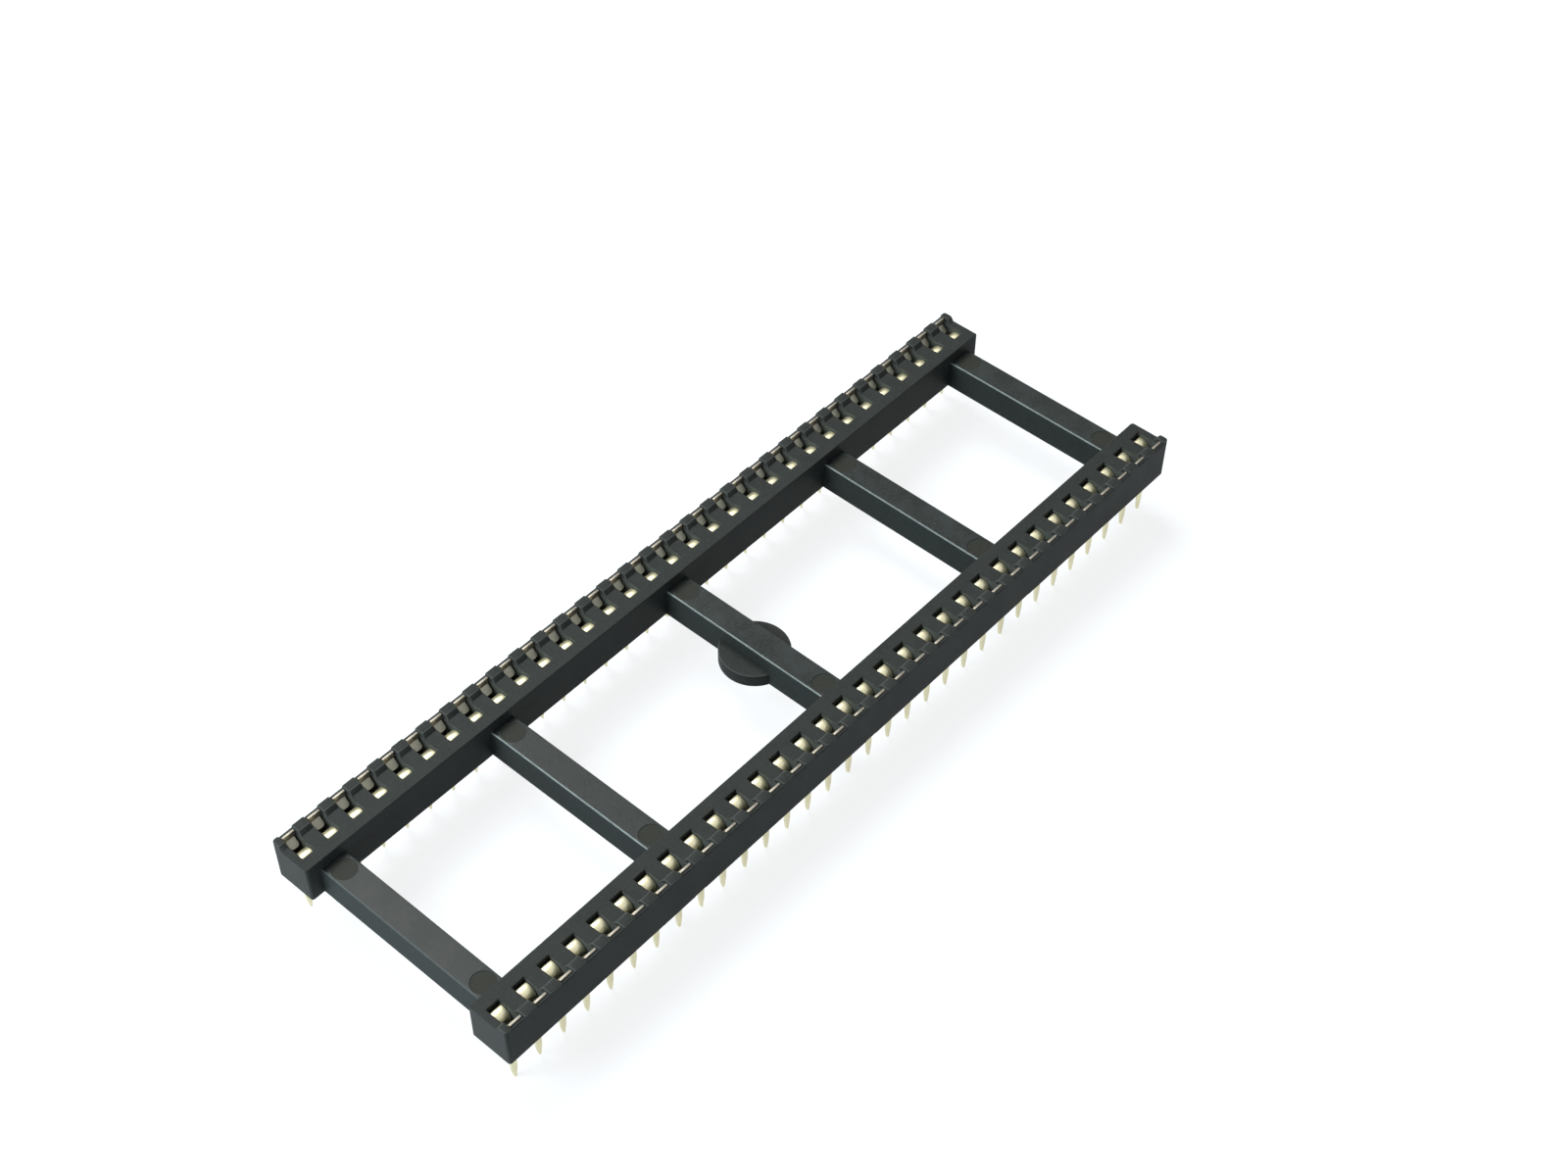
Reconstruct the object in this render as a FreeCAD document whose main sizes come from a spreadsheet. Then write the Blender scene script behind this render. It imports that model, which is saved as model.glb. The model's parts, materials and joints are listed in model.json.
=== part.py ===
import FreeCAD, Part
import os
import Sketcher

# Dual-in-line socket for a wide, long integrated circuit package.
# The origin is the centre of the housing's underside. +X runs along the rows, to the end
# with the low flange, +Y across them and +Z up, away from the circuit board.
# In the outlines, "reach" is a distance from a row line, where the tails stand.

SIZES = (
    # Contact grid
    ("contacts_per_row", 32, "contacts in each of the two rows"),
    ("pitch", 2.54, "distance between neighbours in a row"),
    ("row_spacing", 22.86, "distance between the two row lines"),
    # Rails with the package's seat and the notched rim
    ("rail_inner_reach", 2.61, "row line to the rail's inner face"),
    ("rail_outer_reach", 1.27, "row line to the rail's outer face"),
    ("seat_height", 3.82, "underside to the seat of the package"),
    ("rim_height", 4.25, "underside to the top of the rim"),
    ("rim_top_width", 0.78, "rim across its flat top"),
    ("rim_foot_width", 1.05, "rim across its foot on the seat"),
    ("rail_corner_radius", 0.25, "upright corners at the rails' ends"),
    ("rim_edge_chamfer", 0.08, "outer top edge of the rim"),
    # Crossbars, flange and disc
    ("bar_height", 2.74, "underside to the top of a crossbar"),
    ("bar_top_width", 2.38, "crossbar across its top"),
    ("bar_draft_width", 0.125, "how much each side of a crossbar leans out at the underside"),
    ("end_bar_inset", 2.54, "rail's end to the middle of an end crossbar"),
    ("side_bar_place", 20.32, "middle of the socket to the crossbar on each side of it"),
    ("flange_thickness", 1.25, "low flange between an end crossbar and the rails' ends"),
    ("disc_radius", 3.07, "disc round the middle crossbar"),
    ("disc_thickness", 1.24, "disc round the middle crossbar"),
    ("ejector_mark_radius", 1.05, "round mark at each end of a crossbar"),
    ("ejector_mark_depth", 0.05, "round mark at each end of a crossbar"),
    ("ejector_mark_inset", 1.25, "rail's inner face to the middle of a round mark"),
    ("gate_mark_length", 1.2, "notch of a mould gate under the rail, along it"),
    ("gate_mark_width", 0.45, "notch of a mould gate under the rail, across it"),
    ("gate_mark_depth", 0.12, "notch of a mould gate under the rail"),
    # Contact cavities
    ("cavity_width", 1.24, "cavity along the row"),
    ("cavity_inner_reach", 1.47, "row line to the cavity's inner wall"),
    ("cavity_outer_reach", 0.97, "row line to the cavity's outer wall, where the plate bears"),
    ("floor_thickness", 0.9, "housing under the contact's base"),
    ("tail_clearance", 0.04, "tail to each side of its slot in the floor"),
    # Contacts, each stamped from one sheet
    ("sheet_thickness", 0.22, "sheet of the contacts"),
    ("plate_clearance", 0.035, "plate to each side wall of the cavity"),
    ("leaf_clearance", 0.095, "inner leaf to each side wall of the cavity"),
    ("tongue_clearance", 0.2, "outer tongue to each side wall of the cavity"),
    ("tongue_shear_gap", 0.03, "outer tongue to each side of the window that it is lanced from"),
    ("tongue_root_drop", 0.3, "plate's top to the root of the outer tongue"),
    ("tongue_angle", 35, "degrees between the outer tongue and the plate"),
    ("tongue_end_chamfer", 0.2, "corners of the outer tongue's free end"),
    ("grip_opening", 0.3, "gap between leaf and tongue with no package in it"),
    ("grip_depth", 1.22, "seat to the level where the inner leaf grips"),
    ("leaf_bend_radius", 0.85, "outside of the inner leaf's rolled top"),
    ("leaf_bend_facets", 5, "flat facets that the rolled top is divided into"),
    ("leaf_lip_angle", 108, "degrees from the grip point to the free lip"),
    ("leaf_root_angle", 25, "degrees from the grip point down to the straight shank"),
    ("tail_width", 0.56, "tail along the row"),
    ("tail_length", 4.4, "underside of the housing to the tail's tip"),
    ("tail_point_length", 1.3, "pointed stretch of the tail"),
    ("tail_tip_width", 0.16, "tail across its tip"),
)

# Ends of a line and centre of a circle, as the sketcher numbers them
START, END, CENTRE = 1, 2, 3

# Edges are picked out by place and direction to within this much, in millimetres
CLOSENESS = 0.01

document = FreeCAD.newDocument("dip_ic_socket")


def size_sheet(sizes):
    """Spreadsheet with one named size in each row."""
    sheet = document.addObject("Spreadsheet::Sheet", "Sizes")
    for row, (alias, number, meaning) in enumerate(sizes, start=1):
        sheet.set("A%d" % row, meaning)
        sheet.set("B%d" % row, str(number))
        sheet.setAlias("B%d" % row, alias)
    document.recompute()
    return sheet


sheet = size_sheet(SIZES)


def value(expression):
    """Number that an expression of the sizes gives now."""
    return float(sheet.evalExpression(expression))


# Places that several outlines share
ROW_LINE = "Sizes.row_spacing / 2"
RAIL_HALF_LENGTH = "Sizes.contacts_per_row * Sizes.pitch / 2"
RAIL_INNER = "(%s - Sizes.rail_inner_reach)" % ROW_LINE
RAIL_OUTER = "(%s + Sizes.rail_outer_reach)" % ROW_LINE
END_BAR = "(%s - Sizes.end_bar_inset)" % RAIL_HALF_LENGTH
BAR_HALF_TOP = "Sizes.bar_top_width / 2"
BAR_HALF_FOOT = "(Sizes.bar_top_width / 2 + Sizes.bar_draft_width)"
BAR_MIDDLES = ("-%s" % END_BAR, "-Sizes.side_bar_place", "0", "Sizes.side_bar_place", END_BAR)
FIRST_CONTACT = "(Sizes.contacts_per_row - 1) * Sizes.pitch / -2"
TAIL_HALF_WIDTH = "Sizes.tail_width / 2"


def origin_feature(body, role):
    """Plane or axis of a body's own origin."""
    return next(feature for feature in body.Origin.OriginFeatures if feature.Role == role)


def new_sketch(body, name, role, offset=None):
    """Sketch on one of the body's origin planes, held at a distance along its normal."""
    sketch = body.newObject("Sketcher::SketchObject", name)
    sketch.AttachmentSupport = [(origin_feature(body, role), "")]
    sketch.MapMode = "FlatFace"
    if offset is not None:
        sketch.setExpression("AttachmentOffset.Base.z", offset)
    return sketch


def hold(sketch, side, point, u, v):
    """Hold one point of a sketch at two expressions of the sizes."""
    for kind, place in (("DistanceX", u), ("DistanceY", v)):
        number = sketch.addConstraint(Sketcher.Constraint(kind, side, point, value(place)))
        sketch.setExpression("Constraints[%d]" % number, place)


def outline(sketch, corners):
    """Closed outline of straight sides. A corner is (u, v), both expressions of the sizes."""
    places = [FreeCAD.Vector(value(u), value(v), 0) for u, v in corners]
    sides = []
    for index, start in enumerate(places):
        end = places[(index + 1) % len(places)]
        sides.append(sketch.addGeometry(Part.LineSegment(start, end), False))
    for index, (u, v) in enumerate(corners):
        joint = Sketcher.Constraint("Coincident", sides[index - 1], END, sides[index], START)
        sketch.addConstraint(joint)
        hold(sketch, sides[index], START, u, v)


def circle_outline(sketch, u, v, radius):
    """Full circle held at its centre."""
    middle = FreeCAD.Vector(value(u), value(v), 0)
    circle = Part.Circle(middle, FreeCAD.Vector(0, 0, 1), value(radius))
    side = sketch.addGeometry(circle, False)
    hold(sketch, side, CENTRE, u, v)
    number = sketch.addConstraint(Sketcher.Constraint("Radius", side, value(radius)))
    sketch.setExpression("Constraints[%d]" % number, radius)


def rectangle(u_low, u_high, v_low, v_high):
    """Corners of an upright rectangle."""
    return ((u_low, v_low), (u_high, v_low), (u_high, v_high), (u_low, v_high))


def pad(body, name, sketch, length, symmetric=False):
    """Boss raised from a sketch."""
    feature = body.newObject("PartDesign::Pad", name)
    feature.Profile = sketch
    feature.setExpression("Length", length)
    if symmetric:
        feature.SideType = "Symmetric"
    document.recompute()
    return feature


def pocket(body, name, sketch, length, reverse=False):
    """Recess sunk from a sketch. It has to take some of the body away."""
    before = body.Shape.Volume
    feature = body.newObject("PartDesign::Pocket", name)
    feature.Profile = sketch
    feature.setExpression("Length", length)
    feature.Reversed = reverse
    document.recompute()
    if body.Shape.Volume >= before:
        raise RuntimeError("%s cuts nothing" % name)
    return feature


def dress(body, name, kind, base, length, chosen):
    """Fillet or Chamfer on the edges of a feature that the test picks out."""
    edges = ["Edge%d" % number for number, edge in enumerate(base.Shape.Edges, 1) if chosen(edge)]
    feature = body.newObject("PartDesign::%s" % kind, name)
    feature.Base = (base, edges)
    feature.setExpression("Radius" if kind == "Fillet" else "Size", length)
    document.recompute()
    return feature


def mirrored_across_rows(corners):
    """The same corners on the row at -Y."""
    return tuple((u, "-(%s)" % v) for u, v in corners)


def lies_along(edge, axis):
    """Whether an edge is straight and parallel to an axis."""
    if not isinstance(edge.Curve, Part.Line):
        return False
    return edge.Curve.Direction.cross(axis).Length < CLOSENESS


def near(one, other):
    """Whether two lengths are the same for picking out an edge."""
    return abs(one - other) < CLOSENESS


def make_rails(body):
    """Two rails, each with a flat seat and a rim whose inner side leans back."""
    foot = "%s - Sizes.rim_foot_width" % RAIL_OUTER
    top = "%s - Sizes.rim_top_width" % RAIL_OUTER
    section = (
        (RAIL_INNER, "0"),
        (RAIL_OUTER, "0"),
        (RAIL_OUTER, "Sizes.rim_height"),
        (top, "Sizes.rim_height"),
        (foot, "Sizes.seat_height"),
        (RAIL_INNER, "Sizes.seat_height"),
    )
    sketch = new_sketch(body, "rail_sections", "YZ_Plane")
    outline(sketch, section)
    outline(sketch, tuple(("-(%s)" % u, v) for u, v in section))
    return pad(body, "rails", sketch, "2 * %s" % RAIL_HALF_LENGTH, symmetric=True)


def make_crossbars(body):
    """Five drafted crossbars. The last one has a low flange out to the rails' ends."""
    sketch = new_sketch(body, "crossbar_sections", "XZ_Plane")
    for middle in BAR_MIDDLES:
        near_foot = ("%s - %s" % (middle, BAR_HALF_FOOT), "0")
        near_top = ("%s - %s" % (middle, BAR_HALF_TOP), "Sizes.bar_height")
        far_top = ("%s + %s" % (middle, BAR_HALF_TOP), "Sizes.bar_height")
        far_foot = ("%s + %s" % (middle, BAR_HALF_FOOT), "0")
        if middle is not BAR_MIDDLES[-1]:
            outline(sketch, (near_foot, far_foot, far_top, near_top))
            continue
        lean = "Sizes.bar_draft_width * (1 - Sizes.flange_thickness / Sizes.bar_height)"
        meeting = "%s + %s + %s" % (middle, BAR_HALF_TOP, lean)
        flange_root = (meeting, "Sizes.flange_thickness")
        flange_top = (RAIL_HALF_LENGTH, "Sizes.flange_thickness")
        flange_foot = (RAIL_HALF_LENGTH, "0")
        outline(sketch, (near_foot, flange_foot, flange_top, flange_root, far_top, near_top))
    # Half of each rail's inner side covers the crossbars' ends
    length = "2 * %s + Sizes.rail_inner_reach" % RAIL_INNER
    return pad(body, "crossbars", sketch, length, symmetric=True)


def make_disc(body):
    """Round plate about the middle crossbar, level with the underside."""
    sketch = new_sketch(body, "disc_outline", "XY_Plane")
    circle_outline(sketch, "0", "0", "Sizes.disc_radius")
    return pad(body, "disc", sketch, "Sizes.disc_thickness")


def dress_rail_edges(body, base):
    """Rounded upright corners at the rails' ends, then the rim's chamfered outer edge."""
    upright = FreeCAD.Vector(0, 0, 1)
    lengthwise = FreeCAD.Vector(1, 0, 0)
    half_length = value(RAIL_HALF_LENGTH)
    outer = value(RAIL_OUTER)
    inner = value(RAIL_INNER)
    top = value("Sizes.rim_height")

    def end_corner(edge):
        place = edge.CenterOfMass
        at_end = near(abs(place.x), half_length)
        open_inside = near(place.x, -half_length) and near(abs(place.y), inner)
        return lies_along(edge, upright) and at_end and (near(abs(place.y), outer) or open_inside)

    def rim_edge(edge):
        place = edge.CenterOfMass
        return lies_along(edge, lengthwise) and near(abs(place.y), outer) and near(place.z, top)

    corners = dress(body, "rail_corners", "Fillet", base, "Sizes.rail_corner_radius", end_corner)
    return dress(body, "rim_edges", "Chamfer", corners, "Sizes.rim_edge_chamfer", rim_edge)


def make_contact_places(body):
    """Cavity and tail slot of the first contact in each row, repeated along the rows.

    A cavity also cuts its gap in the rim, and leaves a thin wall behind the contact's plate.
    """
    half_width = "Sizes.cavity_width / 2"
    originals = []
    cavity = rectangle(
        "%s - %s" % (FIRST_CONTACT, half_width),
        "%s + %s" % (FIRST_CONTACT, half_width),
        "%s - Sizes.cavity_inner_reach" % ROW_LINE,
        "%s + Sizes.cavity_outer_reach" % ROW_LINE,
    )
    sketch = new_sketch(body, "cavity_outlines", "XY_Plane", "Sizes.rim_height")
    outline(sketch, cavity)
    outline(sketch, mirrored_across_rows(cavity))
    originals.append(pocket(body, "cavities", sketch, "Sizes.rim_height - Sizes.floor_thickness"))

    slot_half_length = "(%s + Sizes.tail_clearance)" % TAIL_HALF_WIDTH
    slot_half_width = "(Sizes.sheet_thickness / 2 + Sizes.tail_clearance)"
    slot = rectangle(
        "%s - %s" % (FIRST_CONTACT, slot_half_length),
        "%s + %s" % (FIRST_CONTACT, slot_half_length),
        "%s - %s" % (ROW_LINE, slot_half_width),
        "%s + %s" % (ROW_LINE, slot_half_width),
    )
    sketch = new_sketch(body, "tail_slot_outlines", "XY_Plane")
    outline(sketch, slot)
    outline(sketch, mirrored_across_rows(slot))
    originals.append(pocket(body, "tail_slots", sketch, "Sizes.floor_thickness", reverse=True))

    pattern = body.newObject("PartDesign::LinearPattern", "contact_places")
    pattern.Originals = originals
    pattern.Direction = (origin_feature(body, "X_Axis"), [""])
    pattern.Mode = "Spacing"
    pattern.setExpression("Offset", "Sizes.pitch")
    pattern.setExpression("Occurrences", "Sizes.contacts_per_row")
    body.Tip = pattern
    document.recompute()
    return pattern


def make_mould_marks(body):
    """Shallow round marks on the crossbars' ends and gate notches under the rails."""
    sketch = new_sketch(body, "ejector_mark_outlines", "XY_Plane", "Sizes.bar_height")
    for middle in BAR_MIDDLES:
        for side in ("", "-"):
            across = "%s(%s - Sizes.ejector_mark_inset)" % (side, RAIL_INNER)
            circle_outline(sketch, middle, across, "Sizes.ejector_mark_radius")
    pocket(body, "ejector_marks", sketch, "Sizes.ejector_mark_depth")

    sketch = new_sketch(body, "gate_mark_outlines", "XY_Plane")
    for middle in BAR_MIDDLES[1:-1]:
        notch = rectangle(
            "%s - Sizes.gate_mark_length / 2" % middle,
            "%s + Sizes.gate_mark_length / 2" % middle,
            "%s - Sizes.gate_mark_width" % RAIL_OUTER,
            RAIL_OUTER,
        )
        outline(sketch, notch)
        outline(sketch, mirrored_across_rows(notch))
    return pocket(body, "gate_marks", sketch, "Sizes.gate_mark_depth", reverse=True)


def make_housing():
    """Moulded body: two rails joined by crossbars, with a cavity for each contact."""
    body = document.addObject("PartDesign::Body", "housing")
    make_rails(body)
    make_crossbars(body)
    disc = make_disc(body)
    dress_rail_edges(body, disc)
    make_contact_places(body)
    make_mould_marks(body)
    return body


def make_contact():
    """One stamped contact, standing on the row line with its plate on the +Y side."""
    body = document.addObject("PartDesign::Body", "contact")
    plate_outer = "Sizes.cavity_outer_reach"
    plate_inner = "(Sizes.cavity_outer_reach - Sizes.sheet_thickness)"
    plate_width = "Sizes.cavity_width - 2 * Sizes.plate_clearance"
    base_foot = "Sizes.floor_thickness"
    base_top = "(Sizes.floor_thickness + Sizes.sheet_thickness)"

    # Rolled leaf: its grip point faces the tongue across the opening
    radius = "Sizes.leaf_bend_radius"
    inner_radius = "(Sizes.leaf_bend_radius - Sizes.sheet_thickness)"
    bend_u = "(Sizes.grip_opening / -2 - Sizes.leaf_bend_radius)"
    bend_v = "(Sizes.seat_height - Sizes.grip_depth)"
    facets = int(value("Sizes.leaf_bend_facets"))
    turn = "(Sizes.leaf_lip_angle + Sizes.leaf_root_angle) / Sizes.leaf_bend_facets"

    def on_bend(reach, facet):
        angle = "(%d * %s - Sizes.leaf_root_angle)" % (facet, turn)
        return ("(%s + %s * cos(%s))" % (bend_u, reach, angle),
                "(%s + %s * sin(%s))" % (bend_v, reach, angle))

    def shank_foot(start):
        return "%s - (%s - %s) * tan(Sizes.leaf_root_angle)" % (start[0], start[1], base_foot)

    outer_bend = tuple(on_bend(radius, facet) for facet in range(facets + 1))
    inner_bend = tuple(on_bend(inner_radius, facet) for facet in reversed(range(facets + 1)))
    shank_outer = (shank_foot(outer_bend[0]), base_foot)
    shank_inner = (shank_foot(inner_bend[-1]), base_foot)

    sketch = new_sketch(body, "plate_section", "YZ_Plane")
    outline(sketch, (
        shank_inner,
        (plate_outer, base_foot),
        (plate_outer, "Sizes.rim_height"),
        (plate_inner, "Sizes.rim_height"),
        (plate_inner, base_top),
        (shank_inner[0], base_top),
    ))
    pad(body, "plate", sketch, plate_width, symmetric=True)

    # Tongue lanced from the plate: the window that it leaves, then the tongue itself
    tongue_width = "(Sizes.cavity_width - 2 * Sizes.tongue_clearance)"
    tongue_root = "(Sizes.rim_height - Sizes.tongue_root_drop)"
    tongue_end = "Sizes.grip_opening / 2"
    tongue_drop = "(%s - %s) / tan(Sizes.tongue_angle)" % (plate_inner, tongue_end)
    tongue_foot = "(%s - %s)" % (tongue_root, tongue_drop)
    tongue_back = "(%s + Sizes.sheet_thickness / cos(Sizes.tongue_angle))" % tongue_end
    back_drop = "(%s - %s) / tan(Sizes.tongue_angle)" % (plate_outer, tongue_back)
    window_half = "(%s / 2 + Sizes.tongue_shear_gap)" % tongue_width
    sketch = new_sketch(body, "window_outline", "XZ_Plane")
    outline(sketch, rectangle("-%s" % window_half, window_half, tongue_foot, tongue_root))
    pocket(body, "window", sketch, plate_outer)
    sketch = new_sketch(body, "tongue_section", "YZ_Plane")
    outline(sketch, (
        (tongue_end, tongue_foot),
        (tongue_back, tongue_foot),
        (plate_outer, "%s + %s" % (tongue_foot, back_drop)),
        (plate_outer, tongue_root),
        (plate_inner, tongue_root),
    ))
    tongue = pad(body, "tongue", sketch, tongue_width, symmetric=True)

    across = FreeCAD.Vector(0, 1, 0)
    foot_height = value(tongue_foot)
    half_width = value(tongue_width) / 2

    def tongue_corner(edge):
        place = edge.CenterOfMass
        at_side = near(abs(place.x), half_width)
        return lies_along(edge, across) and near(place.z, foot_height) and at_side

    dress(body, "tongue_corners", "Chamfer", tongue, "Sizes.tongue_end_chamfer", tongue_corner)

    sketch = new_sketch(body, "leaf_section", "YZ_Plane")
    outline(sketch, (shank_outer,) + outer_bend + inner_bend + (shank_inner,))
    pad(body, "leaf", sketch, "Sizes.cavity_width - 2 * Sizes.leaf_clearance", symmetric=True)

    # Flat tail that narrows to a point
    tip_half = "Sizes.tail_tip_width / 2"
    point_top = "Sizes.tail_point_length - Sizes.tail_length"
    sketch = new_sketch(body, "tail_outline", "XZ_Plane")
    outline(sketch, (
        ("-%s" % TAIL_HALF_WIDTH, base_top),
        ("-%s" % TAIL_HALF_WIDTH, point_top),
        ("-%s" % tip_half, "-Sizes.tail_length"),
        (tip_half, "-Sizes.tail_length"),
        (TAIL_HALF_WIDTH, point_top),
        (TAIL_HALF_WIDTH, base_top),
    ))
    pad(body, "tail", sketch, "Sizes.sheet_thickness", symmetric=True)
    return body


def make_contact_pairs(contact):
    """A contact of each row for every place along the rows, with the plates outward."""
    left = document.addObject("App::Link", "left_contact")
    left.LinkedObject = contact
    left.setExpression("Placement.Base.y", ROW_LINE)
    right = document.addObject("App::Link", "right_contact")
    right.LinkedObject = contact
    half_turn = FreeCAD.Rotation(FreeCAD.Vector(0, 0, 1), 180)
    right.Placement = FreeCAD.Placement(FreeCAD.Vector(), half_turn)
    right.setExpression("Placement.Base.y", "-%s" % ROW_LINE)
    pairs = []
    for index in range(int(value("Sizes.contacts_per_row"))):
        pair = document.addObject("Part::Compound", "contact_pair_%02d" % (index + 1))
        pair.Links = [left, right]
        pair.setExpression("Placement.Base.x", "%s + %d * Sizes.pitch" % (FIRST_CONTACT, index))
        pairs.append(pair)
    document.recompute()
    return pairs


def check_and_export(subparts):
    """Stop at any failed object or faulty shape, then write each sub-part to its file."""
    document.recompute()
    for item in document.Objects:
        if "Invalid" in item.State or "Error" in item.State:
            raise RuntimeError("%s failed: %s" % (item.Name, item.State))
    for item in subparts:
        if item.Shape.isNull() or not item.Shape.isValid():
            raise RuntimeError("%s has no valid shape" % item.Label)
    os.makedirs("parts", exist_ok=True)
    for item in subparts:
        item.Shape.exportStep("parts/%s.step" % item.Label)


housing = make_housing()
contact_pairs = make_contact_pairs(make_contact())
check_and_export([housing] + contact_pairs)
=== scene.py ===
import json
import math

import bmesh
import bpy
from bpy.props import FloatProperty, FloatVectorProperty, IntProperty, PointerProperty
from mathutils import Matrix, Vector

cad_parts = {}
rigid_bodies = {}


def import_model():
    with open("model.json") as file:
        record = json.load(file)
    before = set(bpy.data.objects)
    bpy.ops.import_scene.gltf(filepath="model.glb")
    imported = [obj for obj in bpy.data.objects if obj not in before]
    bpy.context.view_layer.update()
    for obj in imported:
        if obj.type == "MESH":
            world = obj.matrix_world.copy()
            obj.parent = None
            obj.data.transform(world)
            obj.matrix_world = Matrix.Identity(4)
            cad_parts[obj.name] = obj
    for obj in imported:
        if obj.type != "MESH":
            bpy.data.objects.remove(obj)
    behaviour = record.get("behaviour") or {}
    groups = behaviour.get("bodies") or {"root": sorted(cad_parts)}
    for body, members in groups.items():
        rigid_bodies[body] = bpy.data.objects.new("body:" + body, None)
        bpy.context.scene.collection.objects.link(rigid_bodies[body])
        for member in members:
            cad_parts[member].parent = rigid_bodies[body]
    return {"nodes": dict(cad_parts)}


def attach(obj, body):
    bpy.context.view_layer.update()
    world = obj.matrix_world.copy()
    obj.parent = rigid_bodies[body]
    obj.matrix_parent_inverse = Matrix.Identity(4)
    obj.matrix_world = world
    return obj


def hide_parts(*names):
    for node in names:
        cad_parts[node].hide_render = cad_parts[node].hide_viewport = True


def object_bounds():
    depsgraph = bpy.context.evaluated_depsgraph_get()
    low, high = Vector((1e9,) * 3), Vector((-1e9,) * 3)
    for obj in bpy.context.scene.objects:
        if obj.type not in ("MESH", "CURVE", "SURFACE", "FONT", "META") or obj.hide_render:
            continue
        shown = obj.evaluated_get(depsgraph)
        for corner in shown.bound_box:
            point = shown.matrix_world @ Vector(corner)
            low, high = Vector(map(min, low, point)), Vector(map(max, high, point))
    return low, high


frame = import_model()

bl_info = {
    "name": "DIP IC Socket",
    "version": (1, 0, 0),
    "blender": (4, 5, 0),
    "location": "View3D > Sidebar > Socket",
    "description": "Makes a dual-in-line socket: moulded housing, stamped contacts and a studio",
    "category": "Add Mesh",
}

MM = 0.001
X, Y, Z = 0, 1, 2
WHITE = (1.0, 1.0, 1.0)
CAD_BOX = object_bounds()
CONTACT_NODES = [name for name in frame["nodes"] if name != "housing"]

# Corners closer than this are one corner
MERGE_DISTANCE = 0.002 * MM

# A ray that leans less than this runs along its axis
STRAIGHT = 1e-9

# Edges that turn by more than the first can be rounded, and by the second are shaded sharp
ROUNDED_ANGLE = math.radians(28)
SHARP_ANGLE = math.radians(50)
FLAT_FACE_WEIGHT = 80

# Facets of the rounded shapes
BAR_EDGE_FACETS = 4
MARK_FACETS = 40
DISC_FACETS = 96
DISC_EDGE_FACETS = 3
LEAF_FACETS = 14
TONGUE_CORNER_FACETS = 5
TAIL_POINT_FACETS = 5

# Rounded rim of a round mark: how far inward and down, as shares of its depth
MARK_RIM = ((0.0, 0.0), (0.2, 0.35), (0.7, 0.9), (1.2, 1.0))

# How the tail's sides curve towards its tip, where 1 is straight
POINT_CURVE = 1.35

# Material slots of the crossbars
PLASTIC, MARK, SIDE = 0, 1, 2

# How much painted light each kind of face gets, from 0 to 1: painted highlights on rounded edges,
# and painted light on the shaded cavity and gap walls
PAINTED_LIGHT_LAYER = "painted_light_layer"
CAVITY_PAINTED_LIGHT = 0.28
GAP_PAINTED_LIGHT = 0.04
GAP_CORNER_HIGHLIGHT = 0.18
RIM_EDGE_HIGHLIGHT = 0.15
BAR_EDGE_HIGHLIGHT = 1.0
END_BAR_EDGE_HIGHLIGHT = 0.2
DISC_EDGE_HIGHLIGHT = 0.2

# Tones of the plastic, as multiples of its colour: random specks, painted highlights and painted
# light, and the crossbars' sides lightened as painted light
SPECK_TONE = 1.35
PAINTED_LIGHT_TONE = 8.5
BAR_SIDE_PAINTED_LIGHT = 1.12

# Stage, with the low lamp's place and aim measured from the near end's foot
TABLE_REACH = 3.0
WINDOW_PLACE, WINDOW_SIZE = (0.073, 0.274, 0.475), (0.25, 0.25)
SIDE_PLACE, SIDE_SIZE = (-0.175, 0.075, 0.165), (0.12, 0.12)
LOW_PLACE, LOW_SIZE = Vector((-0.09, -0.01, 0.006)), (0.16, 0.012)
LOW_AIM = Vector((0.0, 0.0, 0.002))

# Camera, solved on the outlines in the photograph
SENSOR_WIDTH = 36.0
CAMERA_PLACE = Vector((-95.33890, -85.57523, 149.93398)) * MM
CAMERA_RIGHT = Vector((0.661222, -0.750141, 0.008568))
CAMERA_DOWN = Vector((-0.551833, -0.494094, -0.671827))
CAMERA_FORWARD = Vector((0.508199, 0.439499, -0.740659))


def length(name, millimetres, description):
    """Length property with its default in millimetres."""
    return FloatProperty(
        name=name,
        description=description,
        default=millimetres * MM,
        min=0.0,
        unit="LENGTH",
        subtype="DISTANCE",
        precision=5,
    )


def angle(name, degrees, description):
    """Angle property with its default in degrees."""
    return FloatProperty(
        name=name,
        description=description,
        default=math.radians(degrees),
        unit="ROTATION",
        subtype="ANGLE",
    )


def colour(name, value, description):
    """Linear colour property."""
    return FloatVectorProperty(
        name=name,
        description=description,
        default=value,
        size=3,
        min=0.0,
        max=1.0,
        subtype="COLOR",
    )


def amount(name, value, description, unit="NONE", least=0.0):
    """Number property in a unit of its own."""
    return FloatProperty(name=name, description=description, default=value, min=least, unit=unit)


def count(name, value, least, description):
    """Whole number property."""
    return IntProperty(name=name, description=description, default=value, min=least)


class SocketGrid(bpy.types.PropertyGroup):
    """Places that the housing and the contacts share."""

    contacts: count("Contacts in a row", 32, 3, "Contacts in each of the two rows")
    pitch: length("Pitch", 2.54, "Distance between neighbours in a row")
    row_spacing: length("Row spacing", 22.86, "Distance between the two row lines")
    seat_height: length("Seat height", 3.82, "Underside to the seat of the package")
    rim_height: length("Rim height", 4.25, "Underside to the top of the rim")
    floor_thickness: length("Floor", 0.9, "Housing under the contacts")
    cavity_width: length("Cavity width", 1.24, "Cavity along the row")
    cavity_outer: length("Cavity outer reach", 0.99, "Row line to the cavity's outer wall")
    gates_every: count("Places between gates", 8, 2, "Contacts from one gate notch to the next")


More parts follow.
